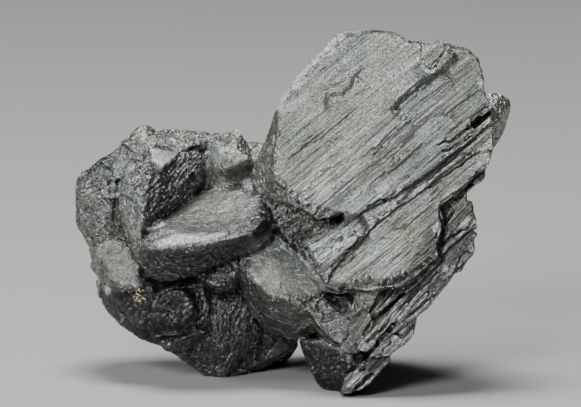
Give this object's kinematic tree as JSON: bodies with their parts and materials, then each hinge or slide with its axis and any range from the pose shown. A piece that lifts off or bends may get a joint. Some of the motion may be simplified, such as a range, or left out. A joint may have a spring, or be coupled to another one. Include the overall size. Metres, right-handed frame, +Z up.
{
  "type": "mineral specimen",
  "caption": "Intergrown cluster of dark steel-grey metallic crystals: a thick striated tabular crystal leaning on a group of stubby blocky ones.",
  "frame": {"origin": "middle of the bounding box's underside, on the surface the cluster stands on", "axes": "+X to the right along the longest extent, +Y backwards from the broad striated face along the shortest extent, +Z up"},
  "size_m": [0.044, 0.0234, 0.0357],
  "materials": {
    "andorite": "dull steel-grey metallic mineral, striated and broken faces"
  },
  "bodies": {
    "root": {"andorite_cluster": "andorite"}
  },
  "joints": []
}
